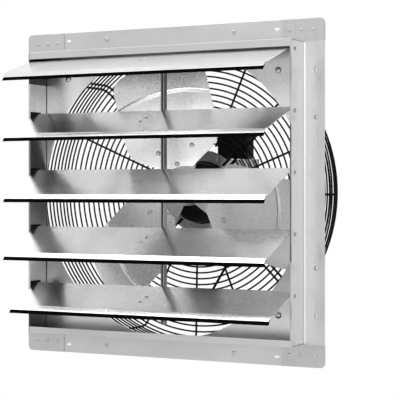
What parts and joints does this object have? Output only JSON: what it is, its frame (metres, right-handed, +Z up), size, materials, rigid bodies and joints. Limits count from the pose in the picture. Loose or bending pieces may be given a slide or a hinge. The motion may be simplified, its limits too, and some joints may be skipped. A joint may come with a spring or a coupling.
{
  "type": "shutter exhaust fan",
  "caption": "Square wall-mounted exhaust fan: a bent sheet box with linked gravity louvres in front, a bladed fan behind it, and a wire guard that carries the motor.",
  "frame": {"origin": "on the fan's axis, at the back face of the top and bottom wall flanges", "axes": "+X to the right seen from the louvre side, +Y back along the fan axis towards the motor, +Z up; the louvres face -Y"},
  "size_m": [0.58, 0.3691, 0.58],
  "materials": {
    "frame_sheet": "satin mill sheet",
    "louvre_sheet": "bright rolled sheet",
    "blade_sheet": "light satin",
    "seal_felt": "matt black felt",
    "bearing_plastic": "matt black",
    "guard_wire": "black powder coat",
    "motor_paint": "black paint",
    "motor_casting": "die cast",
    "plated_steel": "zinc plated",
    "gland_plastic": "black nylon"
  },
  "bodies": {
    "housing": {"frame_top": "frame_sheet", "frame_bottom": "frame_sheet", "frame_left": "frame_sheet", "frame_right": "frame_sheet", "fan_panel": "frame_sheet", "panel_bolt_1": "plated_steel", "panel_bolt_2": "plated_steel", "panel_bolt_3": "plated_steel", "panel_bolt_4": "plated_steel", "bearing_left_1": "bearing_plastic", "bearing_left_2": "bearing_plastic", "bearing_left_3": "bearing_plastic", "bearing_left_4": "bearing_plastic", "bearing_left_5": "bearing_plastic", "bearing_right_1": "bearing_plastic", "bearing_right_2": "bearing_plastic", "bearing_right_3": "bearing_plastic", "bearing_right_4": "bearing_plastic", "bearing_right_5": "bearing_plastic", "guard_front": "guard_wire", "guard_side": "guard_wire", "guard_back": "guard_wire", "motor_rod_1": "guard_wire", "motor_rod_2": "guard_wire", "motor_rod_3": "guard_wire", "motor_rod_4": "guard_wire", "motor_plate": "frame_sheet", "motor_front_bell": "motor_casting", "motor_body": "motor_paint", "motor_rear_bell": "motor_paint", "wiring_box": "motor_paint", "wiring_box_lid": "motor_paint", "cable_gland": "gland_plastic"},
    "rotor": {"blade_1": "blade_sheet", "blade_2": "blade_sheet", "blade_3": "blade_sheet", "fan_hub": "motor_casting", "fan_shaft": "plated_steel"},
    "shutter_1": {"louvre_1": "louvre_sheet", "louvre_seal_1": "seal_felt", "louvre_bracket_1": "plated_steel"},
    "shutter_2": {"louvre_2": "louvre_sheet", "louvre_seal_2": "seal_felt", "louvre_bracket_2": "plated_steel"},
    "shutter_3": {"louvre_3": "louvre_sheet", "louvre_seal_3": "seal_felt", "louvre_bracket_3": "plated_steel"},
    "shutter_4": {"louvre_4": "louvre_sheet", "louvre_seal_4": "seal_felt", "louvre_bracket_4": "plated_steel"},
    "shutter_5": {"louvre_5": "louvre_sheet", "louvre_seal_5": "seal_felt", "louvre_bracket_5": "plated_steel"},
    "link": {"tie_bar": "frame_sheet"}
  },
  "joints": [
    {"name": "fan_spin", "type": "hinge", "parent": "housing", "child": "rotor", "pos_m": [0, 0, 0], "axis": [0, 1, 0], "continuous": true},
    {"name": "louvre_1_hinge", "type": "hinge", "parent": "housing", "child": "shutter_1", "pos_m": [0, -0.0438, 0.2359], "axis": [1, 0, 0], "range_deg": [-10, 59]},
    {"name": "louvre_2_hinge", "type": "hinge", "parent": "housing", "child": "shutter_2", "pos_m": [0, -0.0438, 0.1346], "axis": [1, 0, 0], "range_deg": [-10, 59]},
    {"name": "louvre_3_hinge", "type": "hinge", "parent": "housing", "child": "shutter_3", "pos_m": [0, -0.0438, 0.0333], "axis": [1, 0, 0], "range_deg": [-10, 59]},
    {"name": "louvre_4_hinge", "type": "hinge", "parent": "housing", "child": "shutter_4", "pos_m": [0, -0.0438, -0.068], "axis": [1, 0, 0], "range_deg": [-10, 59]},
    {"name": "louvre_5_hinge", "type": "hinge", "parent": "housing", "child": "shutter_5", "pos_m": [0, -0.0438, -0.1693], "axis": [1, 0, 0], "range_deg": [-10, 59]},
    {"name": "tie_bar_pivot", "type": "hinge", "parent": "shutter_1", "child": "link", "pos_m": [0.0019, -0.0238, 0.2179], "axis": [1, 0, 0], "range_deg": [-59, 10]}
  ],
  "couplings": [
    {"joint": "louvre_2_hinge", "follows": "louvre_1_hinge", "ratio": 1},
    {"joint": "louvre_3_hinge", "follows": "louvre_1_hinge", "ratio": 1},
    {"joint": "louvre_4_hinge", "follows": "louvre_1_hinge", "ratio": 1},
    {"joint": "louvre_5_hinge", "follows": "louvre_1_hinge", "ratio": 1},
    {"joint": "tie_bar_pivot", "follows": "louvre_1_hinge", "ratio": -1}
  ]
}
